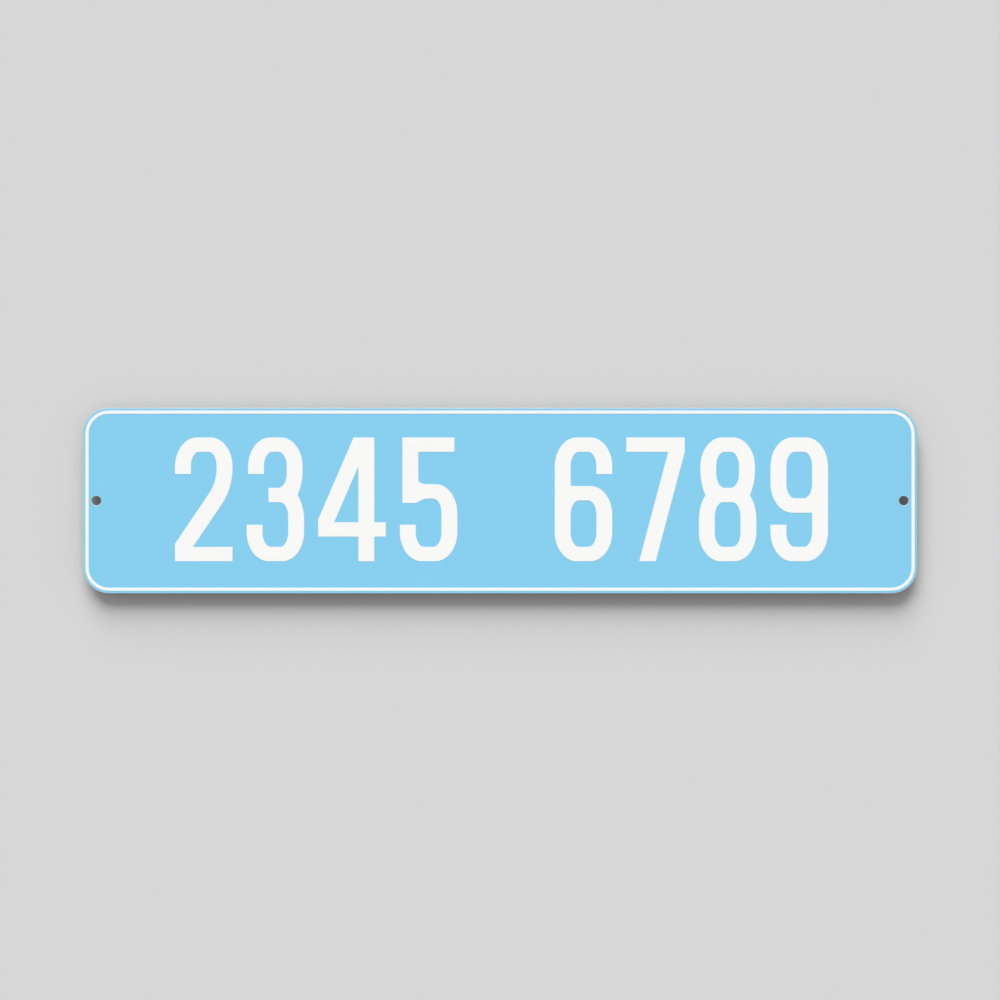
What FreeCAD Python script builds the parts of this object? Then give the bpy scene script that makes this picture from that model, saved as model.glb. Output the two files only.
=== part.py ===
import FreeCAD, Part
import math
import os
import Sketcher

# A flat street name sign: a blank of sheet aluminium with rounded corners and a screw hole near each end,
# faced with light blue film, with a white border line of film laid on it just inside the edge.
# Millimetres, +Z up and +X to the reader's right. The origin is the middle of the back face,
# which lies against the wall in the XZ plane, so the sign is read from -Y.

# Driving dimensions: alias in the spreadsheet, value and what it measures.
SIZES = [
    ("sign_length", 457.2, "end to end, 18 inches"),
    ("sign_height", 101.6, "bottom to top, 4 inches"),
    ("sheet_gauge", 1.016, "thickness of the blank, 0.040 inch sheet"),
    ("corner_radius", 14.25, "corners of the blank"),
    ("edge_round", 0.15, "deburred outer edges of the blank, front and back"),
    ("hole_diameter", 5.2, "screw holes"),
    ("hole_to_line", 1.6, "from the wall of a screw hole to the border line"),
    ("hole_roll_in", 0.15, "rounded mouth at the front, where the punch went in"),
    ("hole_burr_cut", 0.15, "bevel at the back, where the burr was cut off"),
    ("film_gauge", 0.1, "thickness of the blue face film"),
    ("film_trim", 0.05, "from the rounded edges and mouths of the blank to the edge of the film"),
    ("line_inset", 1.42, "from the edge of the blank to the border line"),
    ("line_width", 1.7, "width of the border line"),
    ("line_gauge", 0.08, "thickness of the border line's film"),
]

# What follows from the driving dimensions, as formulas over the spreadsheet's cells.
FILM_INSET = "Sizes.edge_round + Sizes.film_trim"
FILM_HOLE = "Sizes.hole_diameter + 2 * (Sizes.hole_roll_in + Sizes.film_trim)"
LINE_OUTSIDE = "Sizes.line_inset"
LINE_INSIDE = "Sizes.line_inset + Sizes.line_width"
HOLE_INSET = "Sizes.line_inset + Sizes.line_width + Sizes.hole_to_line + Sizes.hole_diameter / 2"
FACE_OF_BLANK = "Sizes.sheet_gauge"
FACE_OF_FILM = "Sizes.sheet_gauge + Sizes.film_gauge"

# How a sketch constraint names a point of its geometry, and the sketch's own axis and origin.
START, END, CENTRE = 1, 2, 3
X_AXIS = -1
ORIGIN = (-1, 1)

# Two lengths that differ by less than this are the same.
SAME = 1e-6

OUT = "parts"


def fill_sheet(doc):
    """The spreadsheet that the sketches and features take their sizes from."""
    sheet = doc.addObject("Spreadsheet::Sheet", "Sizes")
    for row, (alias, value, meaning) in enumerate(SIZES, start=1):
        sheet.set(f"A{row}", alias)
        sheet.set(f"B{row}", str(value))
        sheet.setAlias(f"B{row}", alias)
        sheet.set(f"C{row}", meaning)
    doc.recompute()
    return sheet


def new_body(doc, label, back_plane):
    """An empty body whose back lies at the given formula's distance in front of the back of the sign."""
    body = doc.addObject("PartDesign::Body", label)
    body.Label = label
    body.setExpression("Placement.Base.y", f"-({back_plane})")
    return body


def upright_sketch(body, name):
    """A sketch on the body's own XZ plane: x runs along X, y runs along Z and the normal is -Y."""
    sketch = body.newObject("Sketcher::SketchObject", name)
    plane = next(item for item in body.Origin.OriginFeatures if item.Role == "XZ_Plane")
    sketch.AttachmentSupport = [(plane, "")]
    sketch.MapMode = "FlatFace"
    return sketch


def flat_circle(centre, radius):
    """A circle in the plane of a sketch."""
    return Part.Circle(FreeCAD.Vector(*centre), FreeCAD.Vector(0, 0, 1), radius)


def bind(sketch, constraint, name, formula):
    """Adds a dimension to the sketch, names it and ties it to the formula."""
    index = sketch.addConstraint(constraint)
    sketch.renameConstraint(index, name)
    sketch.setExpression(f"Constraints.{name}", formula)


def rounded_outline(sketch, sheet, name, inset):
    """A closed rounded rectangle about the sketch's origin, set in all round from the edge of the blank.

    It is drawn as the edge of the blank, which its dimensions then set in. Each side runs anticlockwise and
    is followed by its corner, from the bottom side on. The corners have one radius and are tangent to the
    sides, and the centres of two opposite ones mirror each other in the origin."""
    half_x = sheet.sign_length / 2
    half_z = sheet.sign_height / 2
    flat_x = half_x - sheet.corner_radius
    flat_z = half_z - sheet.corner_radius
    sides_and_centres = [
        ((-flat_x, -half_z), (flat_x, -half_z), (flat_x, -flat_z)),
        ((half_x, -flat_z), (half_x, flat_z), (flat_x, flat_z)),
        ((flat_x, half_z), (-flat_x, half_z), (-flat_x, flat_z)),
        ((-half_x, flat_z), (-half_x, -flat_z), (-flat_x, -flat_z)),
    ]
    sides = []
    corners = []
    for turn, (start, end, centre) in enumerate(sides_and_centres):
        line = Part.LineSegment(FreeCAD.Vector(*start), FreeCAD.Vector(*end))
        circle = flat_circle(centre, sheet.corner_radius)
        arc = Part.ArcOfCircle(circle, (turn - 1) * math.pi / 2, turn * math.pi / 2)
        sides.append(sketch.addGeometry(line))
        corners.append(sketch.addGeometry(arc))

    for turn, (side, corner) in enumerate(zip(sides, corners)):
        next_side = sides[(turn + 1) % 4]
        sketch.addConstraint(Sketcher.Constraint("Tangent", side, END, corner, START))
        sketch.addConstraint(Sketcher.Constraint("Tangent", corner, END, next_side, START))
        sketch.addConstraint(Sketcher.Constraint("Vertical" if turn % 2 else "Horizontal", side))
    for corner in corners[1:]:
        sketch.addConstraint(Sketcher.Constraint("Equal", corners[0], corner))
    sketch.addConstraint(Sketcher.Constraint("Symmetric", corners[0], CENTRE, corners[2], CENTRE, *ORIGIN))

    bottom, right, top, left = sides
    length = Sketcher.Constraint("DistanceX", left, START, right, START, sheet.sign_length)
    height = Sketcher.Constraint("DistanceY", bottom, START, top, START, sheet.sign_height)
    radius = Sketcher.Constraint("Radius", corners[0], sheet.corner_radius)
    bind(sketch, length, f"{name}_length", f"Sizes.sign_length - 2 * ({inset})")
    bind(sketch, height, f"{name}_height", f"Sizes.sign_height - 2 * ({inset})")
    bind(sketch, radius, f"{name}_radius", f"Sizes.corner_radius - ({inset})")


def screw_hole_circles(sketch, sheet, diameter):
    """Two circles of the given formula's diameter, on the mid-height line at the screw holes' centres.

    They are drawn at the ends of the sign, and their dimensions bring them in."""
    half_x = sheet.sign_length / 2
    left = sketch.addGeometry(flat_circle((-half_x, 0), sheet.hole_diameter / 2))
    right = sketch.addGeometry(flat_circle((half_x, 0), sheet.hole_diameter / 2))
    sketch.addConstraint(Sketcher.Constraint("Equal", left, right))
    sketch.addConstraint(Sketcher.Constraint("PointOnObject", left, CENTRE, X_AXIS))
    sketch.addConstraint(Sketcher.Constraint("Symmetric", left, CENTRE, right, CENTRE, *ORIGIN))
    spacing = Sketcher.Constraint("DistanceX", left, CENTRE, right, CENTRE, sheet.sign_length)
    size = Sketcher.Constraint("Diameter", left, sheet.hole_diameter)
    bind(sketch, spacing, "hole_spacing", f"Sizes.sign_length - 2 * ({HOLE_INSET})")
    bind(sketch, size, "hole_diameter", diameter)


def pad_forward(body, sketch, name, thickness):
    """Thickens the sketch by the formula, from the body's back towards the reader."""
    pad = body.newObject("PartDesign::Pad", name)
    pad.Profile = sketch
    pad.setExpression("Length", thickness)
    body.Document.recompute()
    return pad


def edges_at(feature, depth):
    """Names of the feature's edges that lie in the plane y = -depth."""
    boxes = [edge.BoundBox for edge in feature.Shape.Edges]
    flat = [abs(box.YMin + depth) < SAME and abs(box.YMax + depth) < SAME for box in boxes]
    return [f"Edge{number}" for number, in_plane in enumerate(flat, start=1) if in_plane]


def hole_edges_at(feature, depth, radius):
    """Names of the feature's full circles of that radius in the plane y = -depth."""
    names = edges_at(feature, depth)
    return [name for name in names if is_circle(feature.Shape.getElement(name), radius)]


def is_circle(edge, radius):
    """True for a whole circle of that radius."""
    return edge.isClosed() and isinstance(edge.Curve, Part.Circle) and abs(edge.Curve.Radius - radius) < SAME


def make_blank(doc, sheet):
    """The aluminium blank: sheared to its outline, deburred all round, and punched from the front."""
    body = new_body(doc, "aluminium_blank", "0")
    front = sheet.sheet_gauge
    hole_radius = sheet.hole_diameter / 2

    outline = upright_sketch(body, "blank_outline")
    rounded_outline(outline, sheet, "blank", "0")
    blank = pad_forward(body, outline, "sheared_blank", "Sizes.sheet_gauge")

    deburred = body.newObject("PartDesign::Fillet", "deburred_edges")
    deburred.Base = (blank, edges_at(blank, 0) + edges_at(blank, front))
    deburred.setExpression("Radius", "Sizes.edge_round")
    doc.recompute()

    centres = upright_sketch(body, "screw_hole_centres")
    screw_hole_circles(centres, sheet, "Sizes.hole_diameter")
    doc.recompute()
    punched = body.newObject("PartDesign::Hole", "punched_holes")
    punched.Profile = centres
    doc.recompute()
    punched.Reversed = True
    punched.DepthType = "ThroughAll"
    punched.setExpression("Diameter", "Sizes.hole_diameter")
    doc.recompute()

    rolled = body.newObject("PartDesign::Fillet", "rolled_in_mouths")
    rolled.Base = (punched, hole_edges_at(punched, front, hole_radius))
    rolled.setExpression("Radius", "Sizes.hole_roll_in")
    doc.recompute()
    cut = body.newObject("PartDesign::Chamfer", "burrs_cut_off")
    cut.Base = (rolled, hole_edges_at(rolled, 0, hole_radius))
    cut.setExpression("Size", "Sizes.hole_burr_cut")
    doc.recompute()
    return body


def make_face_film(doc, sheet):
    """The blue film on the front of the blank, trimmed just clear of its rounded edges and hole mouths."""
    body = new_body(doc, "blue_face_film", FACE_OF_BLANK)
    outline = upright_sketch(body, "film_outline")
    rounded_outline(outline, sheet, "film", FILM_INSET)
    screw_hole_circles(outline, sheet, FILM_HOLE)
    pad_forward(body, outline, "film_sheet", "Sizes.film_gauge")
    return body


def make_border_line(doc, sheet):
    """The white line on the blue film, one closed band that follows the outline of the blank."""
    body = new_body(doc, "white_border_line", FACE_OF_FILM)
    outline = upright_sketch(body, "line_outline")
    rounded_outline(outline, sheet, "line_outside", LINE_OUTSIDE)
    rounded_outline(outline, sheet, "line_inside", LINE_INSIDE)
    pad_forward(body, outline, "line_film", "Sizes.line_gauge")
    return body


def check_document(doc, bodies):
    """Stops with a plain message if anything in the document failed to build."""
    failed = [item.Name for item in doc.Objects if {"Invalid", "Error"} & set(item.State)]
    if failed:
        raise RuntimeError(f"failed to build: {', '.join(failed)}")
    for body in bodies:
        if body.Shape.isNull() or not body.Shape.isValid() or len(body.Shape.Solids) != 1:
            raise RuntimeError(f"{body.Label} is not one valid solid")


def main():
    doc = FreeCAD.newDocument("street_name_sign")
    sheet = fill_sheet(doc)
    bodies = [make_blank(doc, sheet), make_face_film(doc, sheet), make_border_line(doc, sheet)]
    doc.recompute()
    check_document(doc, bodies)
    os.makedirs(OUT, exist_ok=True)
    for body in bodies:
        body.Shape.exportStep(os.path.join(OUT, f"{body.Label}.step"))
        print(body.Label, round(body.Shape.Volume, 3), "mm3")


main()
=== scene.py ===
import math

import bmesh
import bpy
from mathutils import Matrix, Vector
from mathutils.geometry import interpolate_bezier


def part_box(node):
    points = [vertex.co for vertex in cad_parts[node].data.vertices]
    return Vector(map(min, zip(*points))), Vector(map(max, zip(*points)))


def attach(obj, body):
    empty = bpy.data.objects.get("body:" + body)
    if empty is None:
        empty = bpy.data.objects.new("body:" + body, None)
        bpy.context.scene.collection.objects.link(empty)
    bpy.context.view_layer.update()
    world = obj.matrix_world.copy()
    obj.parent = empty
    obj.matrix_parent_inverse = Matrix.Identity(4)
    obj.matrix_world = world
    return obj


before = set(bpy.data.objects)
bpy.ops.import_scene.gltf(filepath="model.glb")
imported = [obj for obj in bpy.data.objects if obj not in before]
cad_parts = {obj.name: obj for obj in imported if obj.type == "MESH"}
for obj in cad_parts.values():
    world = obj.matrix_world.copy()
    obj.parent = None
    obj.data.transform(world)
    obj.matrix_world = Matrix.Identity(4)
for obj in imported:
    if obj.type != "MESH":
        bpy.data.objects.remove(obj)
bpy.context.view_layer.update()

# A flat street name sign seen square on: a blank of sheet aluminium faced with light blue film, a white
# border line and eight white numerals of cut film. Metres, +X to the reader's right, +Z up, the face
# towards -Y.

MM = 0.001
FILM_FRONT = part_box("blue_face_film")[0][1]
LINE_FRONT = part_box("white_border_line")[0][1]
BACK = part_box("aluminium_blank")[1][1]
BODY = "root"

# Lettering, in millimetres: one height, a stem and a thinner bar, and two groups that fill the face from
# margin to margin. A terminal is the end of an open stroke, and hangs so far from the top or stands so
# high from the foot.
CAP = 67.8
STEM = 8.7
BAR = 7.85
TERMINAL = 20.0
WIDE = 31.5
WIDE_FOUR = 37.0
WIDE_SEVEN = 32.0
BASELINE = -33.2
LETTERING_LEFT = -178.1
LETTERING_RIGHT = 179.7
GROUP_GAP = 53.4
GROUPS = ("2345", "6789")

# How far a corner's curve reaches along a level side and along an upright one, in millimetres.
ROUND = (12.0, 16.0)
COUNTER = (4.5, 8.0)
SHOULDER = (3.0, 7.2)
KNEE = (9.0, 11.0)
INNER_KNEE = (6.0, 8.0)
CROOK = (4.5, 2.2)
HEEL = (1.5, 1.2)
RISE = (3.0, 1.2)

# Bowls meet at the waist, where both sides nip in to a notch. The upper bowl is slimmer on each side.
WAIST = 0.535 * CAP
WAIST_LOW = WAIST - BAR / 2
WAIST_HIGH = WAIST + BAR / 2
NOTCH = 3.6
NOTCH_RISE = 6.5
SLIM = 0.8

# How finely the film is cut: points in a corner's curve, the rounding of its edges in millimetres, and
# the decimals of a metre at which two points are level.
ARC_STEPS = 14
FILM_EDGE = 0.015
LEVEL = 7

# Camera: square on to the face, through a long lens. Its frame is so many metres wide at the sign, and it
# sees so many metres far.
LENS = 100.0
SENSOR = 36.0
FRAME_WIDTH = 0.5480
AIM = Vector((-0.00003, FILM_FRONT, 0.00036))
SIGHT = 50.0

# Light, as the share of brightness that each source gives a white surface facing the reader. The room
# looks brighter than the light it gives, and its brightness grows a little overhead and falls as much
# underfoot.
ROOM_SHARE = 0.42
ROOM_SEEN = 0.69
ROOM_TILT = 0.15
KEY_SHARE = 0.58
KEY_FROM = (-0.8, -3.2, 5.2)
KEY_SPREAD = math.radians(44)
BACK_SHARE = 0.08
BACK_PLACE = (1.3, 2.4, 1.4)
BACK_SIZE = 2.0
WHITE_LIGHT = (1.0, 1.0, 1.0, 1.0)

# The wall stands a little behind the sign, on the floor.
WALL_GAP = 0.007
FLOOR_LEVEL = -0.95
STAGE_REACH = 20.0
WALL_PAPER = (0.68, 0.68, 0.68, 1.0)
# Painted shade: the wall turns this dark for light that has already bounced once, so that the holes and the
# gap behind the sign look dark.
WALL_PAINTED_SHADE = (0.12, 0.12, 0.12, 1.0)
FLOOR_PAPER = (0.49, 0.49, 0.49, 1.0)

LIGHT_BLUE = (0.233, 0.620, 0.866, 1.0)
FILM_WHITE = (0.95, 0.95, 0.94, 1.0)
ROLLED_METAL = (0.77, 0.78, 0.795, 1.0)
CUT_METAL = (0.60, 0.61, 0.62, 1.0)
CUT_ROUGHNESS = 0.70

# The middle range of a noise's values, and how many layers of finer spots it has.
NOISE_LOW = 0.3
NOISE_HIGH = 0.7
SMOOTH = 1.0
SOFT = 2.0
FINE = 3.0
FINEST = 4.0

# Sign film: spots to the metre, and the shades or the roughness that they run between.
FILM_CLOUDS = (11, 0.992, 1.004)
FILM_SPECKS = (1500, 0.995, 1.005)
FILM_GLOSS = (240, 0.325, 0.355)

# Its reliefs: spots to the metre, and their depth in metres.
FILM_WAVES = 13
FILM_WAVES_DEPTH = 0.00012
ORANGE_PEEL = 600
ORANGE_PEEL_DEPTH = 0.000004

# Rolled metal: streaks to the metre along the sign and across it, spots to the metre, the shades and the
# roughness that they run between, and the depth of their reliefs in metres.
GRAIN = (25, 2600)
GRAIN_SHADE = (0.93, 1.04)
GRAIN_DEPTH = 0.000005
BANDS = (3, 330)
BANDS_SHADE = (0.94, 1.03)
BANDS_ROUGHNESS = (0.30, 0.42)
BANDS_DEPTH = 0.00002
CLOUDS = 16
CLOUDS_SHADE = (0.95, 1.02)
CLOUDS_ROUGHNESS = (0.9, 1.15)
WAVES = 9
WAVES_DEPTH = 0.0004

# How square a face is to the reader: 1 on the flat front and back, 0 on the rim and in the holes.
CUT_BELOW = 0.9
FLAT_ABOVE = 0.995

# Places of the sockets that share a name in a Mix node and in a Mix Shader node.
FACTOR = 0
NUMBER_A, NUMBER_B, MIXED_NUMBER = 2, 3, 0
COLOUR_A, COLOUR_B, MIXED_COLOUR = 6, 7, 2
SHADER_A, SHADER_B = 1, 2


# Each numeral gives its width and its loops. A loop's corner is x and z in millimetres from the numeral's
# lower left, and then its rounding where it has one.


def two():
    foot_left = 9.6
    foot_right = 9.8
    lean = 1.476
    knee = BAR + (WIDE - foot_right) * lean
    inner_knee = foot_left + (WIDE - STEM) * lean
    return WIDE, [[
        (0, 0), (WIDE, 0), (WIDE, BAR), (foot_right, BAR), (WIDE, knee, KNEE), (WIDE, CAP, ROUND),
        (0, CAP, ROUND), (0, CAP - TERMINAL), (STEM, CAP - TERMINAL), (STEM, CAP - BAR, COUNTER),
        (WIDE - STEM, CAP - BAR, COUNTER), (WIDE - STEM, inner_knee, INNER_KNEE), (0, foot_left),
    ]]


def three():
    left = SLIM
    right = WIDE - SLIM
    tongue = 12.0
    return WIDE, [[
        (0, TERMINAL), (0, 0, ROUND), (WIDE, 0, ROUND), (WIDE, WAIST - NOTCH_RISE, SHOULDER),
        (WIDE - NOTCH, WAIST), (right, WAIST + NOTCH_RISE, SHOULDER), (right, CAP, ROUND),
        (left, CAP, ROUND), (left, CAP - TERMINAL), (left + STEM, CAP - TERMINAL),
        (left + STEM, CAP - BAR, COUNTER), (right - STEM, CAP - BAR, COUNTER),
        (right - STEM, WAIST_HIGH, COUNTER), (tongue, WAIST_HIGH), (tongue, WAIST_LOW),
        (WIDE - STEM, WAIST_LOW, COUNTER), (WIDE - STEM, BAR, COUNTER), (STEM, BAR, COUNTER),
        (STEM, TERMINAL),
    ]]


def four():
    bar_low = 13.5
    bar_end = 6.3
    stroke = 9.4
    peak = 2.6
    toe = 1.6
    bar_top = bar_low + BAR
    stem = WIDE_FOUR - STEM - bar_end
    stem_right = stem + STEM
    apex = stem - peak
    shoulder = bar_top + toe
    lean = (CAP - shoulder) / apex
    counter_left = stroke - (shoulder - bar_top) / lean
    counter_top = shoulder + (stem - stroke) * lean
    return WIDE_FOUR, [
        [(stem, 0), (stem_right, 0), (stem_right, bar_low), (WIDE_FOUR, bar_low), (WIDE_FOUR, bar_top),
         (stem_right, bar_top), (stem_right, CAP), (apex, CAP), (0, shoulder), (0, bar_low),
         (stem, bar_low)],
        [(counter_left, bar_top), (stem, bar_top), (stem, counter_top)],
    ]


def five():
    bowl_lift = 2.0
    left = 1.4
    flag_short = 1.6
    heel_drop = 2.4
    heel_back = 0.6
    rise_out = 2.6
    bowl = WAIST_HIGH + bowl_lift
    bowl_inside = bowl - BAR
    flag_end = WIDE - flag_short
    neck = left + STEM
    neck_foot = bowl_inside - heel_drop
    heel = neck - heel_back
    risen = neck + rise_out
    return WIDE, [[
        (0, TERMINAL), (0, 0, ROUND), (WIDE, 0, ROUND), (WIDE, bowl, ROUND), (neck, bowl, CROOK),
        (neck, CAP - BAR), (flag_end, CAP - BAR), (flag_end, CAP), (left, CAP), (left, neck_foot),
        (heel, neck_foot, HEEL), (risen, bowl_inside, RISE), (WIDE - STEM, bowl_inside, COUNTER),
        (WIDE - STEM, BAR, COUNTER), (STEM, BAR, COUNTER), (STEM, TERMINAL),
    ]]


def six():
    bowl_lift = 1.0
    bowl = WAIST_HIGH + bowl_lift
    bowl_inside = bowl - BAR
    return WIDE, [
        [(0, 0, ROUND), (WIDE, 0, ROUND), (WIDE, bowl, ROUND), (STEM, bowl), (STEM, CAP - BAR, COUNTER),
         (WIDE - STEM, CAP - BAR, COUNTER), (WIDE - STEM, CAP - TERMINAL), (WIDE, CAP - TERMINAL),
         (WIDE, CAP, ROUND), (0, CAP, ROUND)],
        counter(STEM, WIDE - STEM, BAR, bowl_inside),
    ]


def seven():
    foot = 7.0
    stroke = 9.1
    under = CAP - BAR
    return WIDE_SEVEN, [[
        (foot, 0), (foot + stroke, 0), (WIDE_SEVEN, under), (WIDE_SEVEN, CAP), (0, CAP), (0, under),
        (WIDE_SEVEN - stroke, under),
    ]]


def eight():
    left = SLIM
    right = WIDE - SLIM
    return WIDE, [
        [(0, 0, ROUND), (WIDE, 0, ROUND), (WIDE, WAIST - NOTCH_RISE, SHOULDER), (WIDE - NOTCH, WAIST),
         (right, WAIST + NOTCH_RISE, SHOULDER), (right, CAP, ROUND), (left, CAP, ROUND),
         (left, WAIST + NOTCH_RISE, SHOULDER), (NOTCH, WAIST), (0, WAIST - NOTCH_RISE, SHOULDER)],
        counter(STEM, WIDE - STEM, BAR, WAIST_LOW),
        counter(left + STEM, right - STEM, WAIST_HIGH, CAP - BAR),
    ]


def nine():
    """A six turned upside down."""
    width, loops = six()
    return width, [[(width - x, CAP - z, *rounding) for x, z, *rounding in loop] for loop in loops]


def counter(left, right, low, high):
    """The rounded hole inside a bowl."""
    return [(left, low, COUNTER), (right, low, COUNTER), (right, high, COUNTER), (left, high, COUNTER)]


DRAWN = {"2": two, "3": three, "4": four, "5": five, "6": six, "7": seven, "8": eight, "9": nine}


def rounded(loop):
    """The loop's points in order, with a curve tangent to both sides at each corner that has a rounding."""
    points = []
    for index, (x, z, *rounding) in enumerate(loop):
        corner = Vector((x, z))
        if not rounding:
            points.append(corner)
            continue
        across, up = rounding[0]
        before = Vector(loop[index - 1][:2]) - corner
        after = Vector(loop[(index + 1) % len(loop)][:2]) - corner
        start = corner + to_curve(before, across, up)
        end = corner + to_curve(after, across, up)
        turn = math.pi - before.angle(after)
        # Handles that end so near the corner make a circle's arc where both reaches are the same.
        pull = 1 - (4 / 3) * math.tan(turn / 4) / math.tan(turn / 2)
        handles = (corner + (start - corner) * pull, corner + (end - corner) * pull)
        points += interpolate_bezier(start, *handles, end, ARC_STEPS)
    return points


def to_curve(side, across, up):
    """From a corner to where its curve leaves the side, by its reach on level sides and on upright ones."""
    reach = Vector((side.x * across, side.y * up)).length / side.length
    return side.normalized() * reach


def cut_film(name, loops, left):
    """A numeral of cut film: its loops filled, as thick as the border line, lying on the face."""
    curve = bpy.data.curves.new(name, "CURVE")
    curve.dimensions = "2D"
    curve.fill_mode = "BOTH"
    curve.bevel_depth = FILM_EDGE * MM
    curve.bevel_resolution = 1
    curve.offset = -curve.bevel_depth
    curve.extrude = (FILM_FRONT - LINE_FRONT) / 2 - curve.bevel_depth
    for loop in loops:
        points = rounded(loop)
        spline = curve.splines.new("POLY")
        spline.points.add(len(points) - 1)
        spline.use_cyclic_u = True
        for point, (x, z) in zip(spline.points, points):
            point.co = ((left + x) * MM, (BASELINE + z) * MM, 0, 1)
    drawn = bpy.data.objects.new(f"{name}_outline", curve)
    mesh = bpy.data.meshes.new_from_object(drawn)
    mesh.name = name
    bpy.data.objects.remove(drawn)
    bpy.data.curves.remove(curve)
    stand_on_face(mesh)
    without_slivers(mesh)
    piece = bpy.data.objects.new(name, mesh)
    bpy.context.collection.objects.link(piece)
    return piece


def stand_on_face(mesh):
    """Stands a mesh that is drawn flat on the face: its y goes up, and its front turns to the reader."""
    middle = (FILM_FRONT + LINE_FRONT) / 2
    for vertex in mesh.vertices:
        x, up, front = vertex.co
        vertex.co = (x, middle - front, up)


def without_slivers(mesh):
    """Turns the edges inside the flat front and back so that no triangle there is a sliver."""
    work = bmesh.new()
    work.from_mesh(mesh)
    flat = [edge for edge in work.edges
            if len({round(vertex.co.y, LEVEL) for face in edge.link_faces for vertex in face.verts}) == 1]
    bmesh.ops.beautify_fill(work, faces=work.faces[:], edges=flat)
    work.to_mesh(mesh)
    work.free()


def numerals(material):
    """Eight numerals in two groups, evenly spaced from the left of the lettering to its right."""
    drawn = [[DRAWN[figure]() for figure in group] for group in GROUPS]
    inked = sum(width for group in drawn for width, _ in group)
    gaps = sum(len(group) - 1 for group in GROUPS)
    gap = (LETTERING_RIGHT - LETTERING_LEFT - GROUP_GAP - inked) / gaps
    left = LETTERING_LEFT
    for figures, group in zip(GROUPS, drawn):
        for figure, (width, loops) in zip(figures, group):
            piece = cut_film(f"numeral_{figure}", loops, left)
            piece.data.materials.append(material)
            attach(piece, BODY)
            left += width + gap
        left += GROUP_GAP - gap


def add_node(tree, kind, inputs=None, **settings):
    """Adds a node with its own settings, and gives each named input a value or joins a socket to it."""
    node = tree.nodes.new(kind)
    for name, value in settings.items():
        setattr(node, name, value)
    for name, value in (inputs or {}).items():
        if isinstance(value, bpy.types.NodeSocket):
            tree.links.new(value, node.inputs[name])
        else:
            node.inputs[name].default_value = value
    return node


def worked_out(tree, operation, *values, **settings):
    """What a Math node makes of the values."""
    inputs = dict(enumerate(values))
    return add_node(tree, "ShaderNodeMath", inputs, operation=operation, **settings).outputs[0]


def times(tree, one, other):
    return worked_out(tree, "MULTIPLY", one, other)


def any_of(tree, first, *others):
    """1 where any of the values is 1 or more, and 0 where all are 0."""
    for other in others:
        first = worked_out(tree, "ADD", first, other, use_clamp=True)
    return first


def ramp(tree, value, start, end, low, high):
    """Runs from low to high while the value runs from start to end."""
    inputs = {"Value": value, "From Min": start, "From Max": end, "To Min": low, "To Max": high}
    return add_node(tree, "ShaderNodeMapRange", inputs).outputs["Result"]


def mixed_number(tree, factor, first, second):
    inputs = {FACTOR: factor, NUMBER_A: first, NUMBER_B: second}
    return add_node(tree, "ShaderNodeMix", inputs).outputs[MIXED_NUMBER]


def mixed_colour(tree, factor, first, second, **settings):
    inputs = {FACTOR: factor, COLOUR_A: first, COLOUR_B: second}
    return add_node(tree, "ShaderNodeMix", inputs, data_type="RGBA", **settings).outputs[MIXED_COLOUR]


def tinted(tree, colour, shade):
    """The colour made a little darker or lighter by the shade."""
    tint = add_node(tree, "ShaderNodeCombineColor", {"Red": shade, "Green": shade, "Blue": shade})
    return mixed_colour(tree, 1.0, colour, tint.outputs[0], blend_type="MULTIPLY")


def noise(tree, place, per_metre, layers=SOFT):
    """Soft random spots, about so many to the metre."""
    inputs = {"Vector": place, "Scale": per_metre, "Detail": layers}
    return add_node(tree, "ShaderNodeTexNoise", inputs).outputs["Fac"]


def spread(tree, value, low, high):
    """Stretches a noise's middle range to run from low to high."""
    return ramp(tree, value, NOISE_LOW, NOISE_HIGH, low, high)


def spots(tree, place, per_metre, low, high, layers=SOFT):
    """Random spots, so many to the metre, that run from low to high."""
    return spread(tree, noise(tree, place, per_metre, layers), low, high)


def streaks(tree, place, along, across):
    """Random streaks that run along the sign: so many to the metre along it and across it."""
    lanes = add_node(tree, "ShaderNodeMapping", {"Vector": place, "Scale": (along, 1.0, across)})
    return noise(tree, lanes.outputs[0], 1.0, FINE)


def relief(tree, height, depth, under=None):
    """A bump of that depth in metres, on top of the one under it."""
    inputs = {"Height": height, "Distance": depth}
    if under:
        inputs["Normal"] = under
    return add_node(tree, "ShaderNodeBump", inputs).outputs["Normal"]


def surface(name):
    """A new material with its node tree, its shader and the sign's own coordinates, in metres."""
    material = bpy.data.materials.new(name)
    material.use_nodes = True
    tree = material.node_tree
    shader = tree.nodes["Principled BSDF"]
    place = add_node(tree, "ShaderNodeTexCoord").outputs["Object"]
    return material, tree, shader, place


def sign_film(name, colour):
    """Smooth sign film: even colour, a soft gloss, a fine orange peel, and the slow waves of the sheet."""
    material, tree, shader, place = surface(name)
    shade = times(tree, spots(tree, place, *FILM_CLOUDS), spots(tree, place, *FILM_SPECKS))
    tree.links.new(tinted(tree, colour, shade), shader.inputs["Base Color"])
    tree.links.new(spots(tree, place, *FILM_GLOSS, FINE), shader.inputs["Roughness"])
    waves = relief(tree, noise(tree, place, FILM_WAVES, SMOOTH), FILM_WAVES_DEPTH)
    peel = relief(tree, noise(tree, place, ORANGE_PEEL), ORANGE_PEEL_DEPTH, waves)
    tree.links.new(peel, shader.inputs["Normal"])
    return material


def cut_edge(tree):
    """1 on the sheared rim and in the holes, 0 on the flat front and back."""
    normal = add_node(tree, "ShaderNodeTexCoord").outputs["Normal"]
    towards_back = add_node(tree, "ShaderNodeSeparateXYZ", {"Vector": normal}).outputs["Y"]
    return ramp(tree, worked_out(tree, "ABSOLUTE", towards_back), CUT_BELOW, FLAT_ABOVE, 1.0, 0.0)


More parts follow.
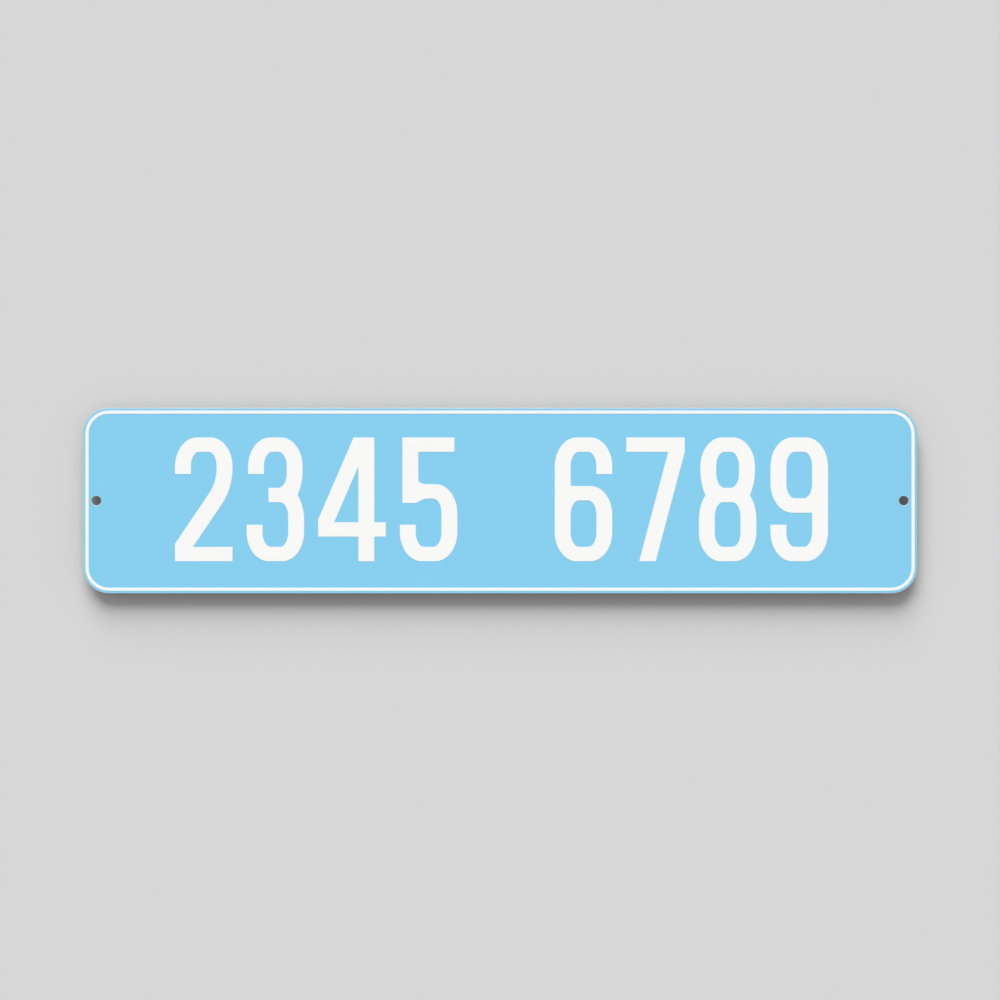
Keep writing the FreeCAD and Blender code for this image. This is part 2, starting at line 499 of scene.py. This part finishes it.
def aluminium():
    """Mill finish sheet: rolling grain, cloudy patches and slow waves, and duller metal where it is cut."""
    material, tree, shader, place = surface("mill_aluminium")
    shader.inputs["Metallic"].default_value = 1.0
    cut = cut_edge(tree)
    grain = streaks(tree, place, *GRAIN)
    bands = streaks(tree, place, *BANDS)
    clouds = noise(tree, place, CLOUDS, FINEST)

    shade = times(tree, spread(tree, grain, *GRAIN_SHADE), spread(tree, bands, *BANDS_SHADE))
    shade = times(tree, shade, spread(tree, clouds, *CLOUDS_SHADE))
    colour = mixed_colour(tree, cut, tinted(tree, ROLLED_METAL, shade), CUT_METAL)
    tree.links.new(colour, shader.inputs["Base Color"])

    gloss = times(tree, spread(tree, bands, *BANDS_ROUGHNESS), spread(tree, clouds, *CLOUDS_ROUGHNESS))
    tree.links.new(mixed_number(tree, cut, gloss, CUT_ROUGHNESS), shader.inputs["Roughness"])

    waves = relief(tree, noise(tree, place, WAVES, SMOOTH), WAVES_DEPTH)
    rolled_in = relief(tree, bands, BANDS_DEPTH, waves)
    tree.links.new(relief(tree, grain, GRAIN_DEPTH, rolled_in), shader.inputs["Normal"])
    return material


def stage():
    """A pale wall close behind the sign, and a pale floor in front of it and behind it."""
    wall_at = BACK + WALL_GAP
    far = STAGE_REACH
    wall = [(-far, wall_at, FLOOR_LEVEL), (far, wall_at, FLOOR_LEVEL), (far, wall_at, far),
            (-far, wall_at, far)]
    floor = [(-far, -far, FLOOR_LEVEL), (far, -far, FLOOR_LEVEL), (far, far, FLOOR_LEVEL),
             (-far, far, FLOOR_LEVEL)]
    backdrop("wall", wall, wall_paper())
    backdrop("floor", floor, floor_paper())


def backdrop(name, corners, material):
    mesh = bpy.data.meshes.new(name)
    mesh.from_pydata(corners, [], [range(len(corners))])
    mesh.materials.append(material)
    sheet = bpy.data.objects.new(name, mesh)
    bpy.context.collection.objects.link(sheet)


def plain_paper(name):
    """A matt material, its tree, its colour, and the socket that makes it see-through where it is 1."""
    material = bpy.data.materials.new(name)
    material.use_nodes = True
    tree = material.node_tree
    tree.nodes.clear()
    paper = add_node(tree, "ShaderNodeBsdfDiffuse")
    clear = add_node(tree, "ShaderNodeBsdfTransparent")
    inputs = {SHADER_A: paper.outputs[0], SHADER_B: clear.outputs[0]}
    mixed = add_node(tree, "ShaderNodeMixShader", inputs)
    add_node(tree, "ShaderNodeOutputMaterial", {"Surface": mixed.outputs[0]})
    return material, tree, paper.inputs["Color"], mixed.inputs[FACTOR]


def wall_paper():
    """Lets a look from behind pass, and all that it then leads to, so the wall never hides the sign's back.

    It throws no light on the floor, and paints shade on what bounces between it and the sign: its paper
    turns dark after the first bounce, so that the holes look dark.
    """
    material, tree, colour, see_through = plain_paper("pale_wall")
    path = add_node(tree, "ShaderNodeLightPath").outputs
    from_behind = add_node(tree, "ShaderNodeNewGeometry").outputs["Backfacing"]
    passes = any_of(tree, from_behind, path["Transparent Depth"], path["Is Diffuse Ray"])
    tree.links.new(passes, see_through)
    shade = mixed_colour(tree, path["Diffuse Depth"], WALL_PAPER, WALL_PAINTED_SHADE)
    tree.links.new(shade, colour)
    return material


def floor_paper():
    """Shows to the camera and in a gloss, from above, and throws no light up at the sign."""
    material, tree, colour, see_through = plain_paper("pale_floor")
    colour.default_value = FLOOR_PAPER
    path = add_node(tree, "ShaderNodeLightPath").outputs
    from_below = add_node(tree, "ShaderNodeNewGeometry").outputs["Backfacing"]
    shown = any_of(tree, path["Is Camera Ray"], path["Is Glossy Ray"])
    unseen = worked_out(tree, "SUBTRACT", 1.0, shown)
    tree.links.new(any_of(tree, from_below, unseen), see_through)
    return material


def room():
    """A pale room, a little brighter overhead."""
    world = bpy.data.worlds.new("room")
    bpy.context.scene.world = world
    world.use_nodes = True
    tree = world.node_tree
    path = add_node(tree, "ShaderNodeLightPath").outputs
    seen = any_of(tree, path["Is Camera Ray"], path["Is Glossy Ray"], path["Is Transmission Ray"])
    level = ramp(tree, seen, 0.0, 1.0, ROOM_SHARE, ROOM_SEEN)
    direction = add_node(tree, "ShaderNodeTexCoord").outputs["Generated"]
    height = add_node(tree, "ShaderNodeSeparateXYZ", {"Vector": direction}).outputs["Z"]
    tilt = worked_out(tree, "MULTIPLY_ADD", height, ROOM_TILT, 1.0)
    light = tree.nodes["Background"]
    light.inputs["Color"].default_value = WHITE_LIGHT
    tree.links.new(times(tree, level, tilt), light.inputs["Strength"])


def aimed_lamp(name, kind, place):
    """A lamp there, aimed at the sign, and how square on to the sign's plane it shines."""
    light = bpy.data.lights.new(name, kind)
    holder = bpy.data.objects.new(name, light)
    place = Vector(place)
    holder.location = place
    holder.rotation_euler = (-place).to_track_quat("-Z", "Y").to_euler()
    holder.visible_camera = False
    bpy.context.collection.objects.link(holder)
    return light, abs(place.normalized().y)


def key_lamp():
    """The main light, from so far off that it is as strong all over: high, and a little to the left.

    Square on, a sun of strength pi gives a white surface its full brightness.
    """
    light, squareness = aimed_lamp("key_lamp", "SUN", KEY_FROM)
    light.angle = KEY_SPREAD
    light.energy = KEY_SHARE * math.pi / squareness


def back_lamp():
    """A large soft lamp behind the wall, for the back of the sign.

    Square on and a metre off, pi squared watts give a white surface its full brightness.
    """
    light, squareness = aimed_lamp("back_lamp", "AREA", BACK_PLACE)
    light.size = BACK_SIZE
    light.energy = BACK_SHARE * math.pi ** 2 * Vector(BACK_PLACE).length_squared / squareness


def camera():
    """Square on to the face, as far off as the long lens needs to frame it."""
    data = bpy.data.cameras.new("camera")
    data.lens = LENS
    data.sensor_width = SENSOR
    data.clip_end = SIGHT
    holder = bpy.data.objects.new("camera", data)
    holder.location = AIM - Vector((0, FRAME_WIDTH * LENS / SENSOR, 0))
    holder.rotation_euler = (math.pi / 2, 0, 0)
    bpy.context.collection.objects.link(holder)
    bpy.context.scene.camera = holder


def dress(node, material):
    """Gives a CAD node one material all over."""
    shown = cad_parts[node]
    shown.data.materials.clear()
    shown.data.materials.append(material)


bpy.context.scene.view_settings.view_transform = "Standard"
white = sign_film("white_sign_film", FILM_WHITE)
dress("blue_face_film", sign_film("blue_sign_film", LIGHT_BLUE))
dress("white_border_line", white)
dress("aluminium_blank", aluminium())
numerals(white)

stage()
room()
key_lamp()
back_lamp()
camera()
